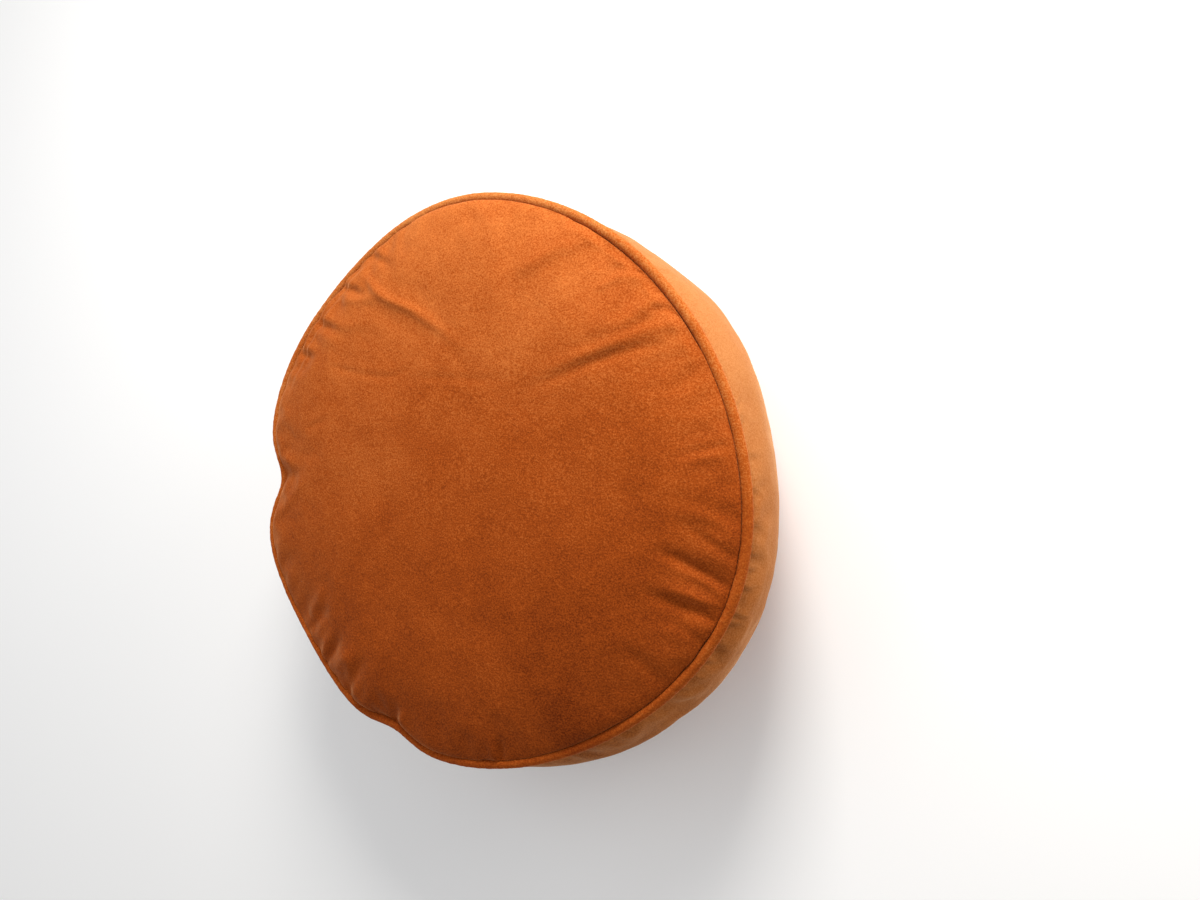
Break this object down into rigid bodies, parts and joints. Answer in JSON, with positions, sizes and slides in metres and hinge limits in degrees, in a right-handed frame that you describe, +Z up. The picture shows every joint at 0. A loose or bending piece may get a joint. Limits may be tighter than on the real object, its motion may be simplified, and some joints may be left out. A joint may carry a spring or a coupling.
{
  "type": "round pouf",
  "caption": "Round box pouf of velvet with a domed top panel, a deep full side band and corded piping at its rims.",
  "frame": {"origin": "on the floor under the middle of the round seams, at the centre of the flat face that the pouf rests on", "axes": "+Z up through the domed top panel, +X towards the side where the picture shows most of the side band, +Y towards the picture's top"},
  "size_m": [0.5037, 0.5116, 0.185],
  "materials": {
    "panel_velvet": "burnt orange short-pile velvet",
    "band_velvet": "burnt orange short-pile velvet, the pile running down the band",
    "piping_velvet": "burnt orange short-pile velvet cut on the bias and wrapped round a cord"
  },
  "bodies": {
    "root": {"top_panel": "panel_velvet", "side_band": "band_velvet", "bottom_panel": "panel_velvet", "piping_top": "piping_velvet", "piping_bottom": "piping_velvet"}
  },
  "joints": []
}
